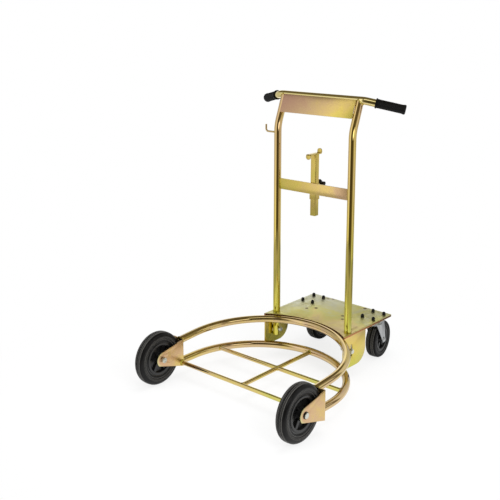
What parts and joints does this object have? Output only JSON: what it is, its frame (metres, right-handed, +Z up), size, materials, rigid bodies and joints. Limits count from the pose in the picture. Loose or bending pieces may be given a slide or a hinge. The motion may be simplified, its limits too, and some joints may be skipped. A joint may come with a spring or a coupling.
{
  "type": "drum trolley",
  "caption": "Tubular steel drum trolley with a ring cradle on fixed front wheels and swivel castors, a rear deck, push handle with grips and a sliding catch for the drum's rim.",
  "frame": {"origin": "middle of the base rectangle on the floor, on the symmetry plane", "axes": "+Z up; +Y to the operator's side; +X to the right seen from the open drum side, -Y"},
  "size_m": [0.732, 0.929, 1.056],
  "materials": {
    "yellow_zinc": "yellow passivated zinc plating with faint rainbow tints",
    "bright_zinc": "bright zinc plating",
    "black_nut": "black capped nuts, satin",
    "tyre_rubber": "matt black solid rubber",
    "rim_plastic": "black moulded plastic, satin",
    "grip_rubber": "matt black rubber with fine ribs",
    "knob_plastic": "black moulded plastic",
    "bearing_steel": "ground steel"
  },
  "bodies": {
    "frame": {"axle_bolts": "bright_zinc", "axle_nuts": "bright_zinc", "axle_sleeves": "bearing_steel", "castor_bolts": "bright_zinc", "castor_nuts": "black_nut", "catch_sleeve": "yellow_zinc", "centre_rod_front": "yellow_zinc", "centre_rod_rear": "yellow_zinc", "cheek_bolts": "bright_zinc", "cheek_nuts": "bright_zinc", "cheek_washers": "bright_zinc", "clamp_nut": "yellow_zinc", "cross_bar": "yellow_zinc", "cross_rod": "yellow_zinc", "front_rod": "yellow_zinc", "handle_plate": "yellow_zinc", "handlebar": "yellow_zinc", "hose_hook": "yellow_zinc", "left_castor_king_pin": "bright_zinc", "left_castor_plate": "bright_zinc", "left_cheek": "yellow_zinc", "left_fork": "yellow_zinc", "left_grip": "grip_rubber", "left_upright": "yellow_zinc", "lower_ring": "yellow_zinc", "platform": "yellow_zinc", "right_castor_king_pin": "bright_zinc", "right_castor_plate": "bright_zinc", "right_cheek": "yellow_zinc", "right_fork": "yellow_zinc", "right_grip": "grip_rubber", "right_upright": "yellow_zinc", "upper_ring": "yellow_zinc"},
    "catch": {"catch_post": "yellow_zinc", "catch_strip": "yellow_zinc"},
    "clamp": {"clamp_knob": "knob_plastic", "clamp_screw": "bright_zinc"},
    "left_front_wheel": {"left_tyre": "tyre_rubber", "left_rim": "rim_plastic", "left_bearing": "bearing_steel"},
    "left_castor": {"left_castor_fork": "bright_zinc", "left_castor_balls": "bearing_steel", "left_castor_axle": "bright_zinc", "left_castor_axle_nut": "bright_zinc", "left_castor_axle_sleeve": "bright_zinc"},
    "left_castor_wheel": {"left_castor_tyre": "tyre_rubber", "left_castor_rim": "rim_plastic"},
    "right_front_wheel": {"right_tyre": "tyre_rubber", "right_rim": "rim_plastic", "right_bearing": "bearing_steel"},
    "right_castor": {"right_castor_fork": "bright_zinc", "right_castor_balls": "bearing_steel", "right_castor_axle": "bright_zinc", "right_castor_axle_nut": "bright_zinc", "right_castor_axle_sleeve": "bright_zinc"},
    "right_castor_wheel": {"right_castor_tyre": "tyre_rubber", "right_castor_rim": "rim_plastic"}
  },
  "joints": [
    {"name": "left_wheel_spin", "type": "hinge", "parent": "frame", "child": "left_front_wheel", "pos_m": [-0.3302, -0.36449, 0.1], "axis": [1, 0, 0], "continuous": true},
    {"name": "left_castor_swivel", "type": "hinge", "parent": "frame", "child": "left_castor", "pos_m": [-0.147, 0.33949, 0.16], "axis": [0, 0, 1], "continuous": true},
    {"name": "left_castor_roll", "type": "hinge", "parent": "left_castor", "child": "left_castor_wheel", "pos_m": [-0.147, 0.38949, 0.075], "axis": [1, 0, 0], "continuous": true},
    {"name": "right_wheel_spin", "type": "hinge", "parent": "frame", "child": "right_front_wheel", "pos_m": [0.3302, -0.36449, 0.1], "axis": [1, 0, 0], "continuous": true},
    {"name": "right_castor_swivel", "type": "hinge", "parent": "frame", "child": "right_castor", "pos_m": [0.147, 0.33949, 0.16], "axis": [0, 0, 1], "continuous": true},
    {"name": "right_castor_roll", "type": "hinge", "parent": "right_castor", "child": "right_castor_wheel", "pos_m": [0.14091, 0.38912, 0.075], "axis": [0.9925, 0.1219, 0], "continuous": true},
    {"name": "catch_slide", "type": "slide", "parent": "frame", "child": "catch", "axis": [0, 0, 1], "range_m": [-0.085, 0.085]},
    {"name": "clamp_turn", "type": "hinge", "parent": "frame", "child": "clamp", "pos_m": [-0.0035, 0.17349, 0.709], "axis": [0, 1, 0], "range_deg": [0, 270]}
  ]
}
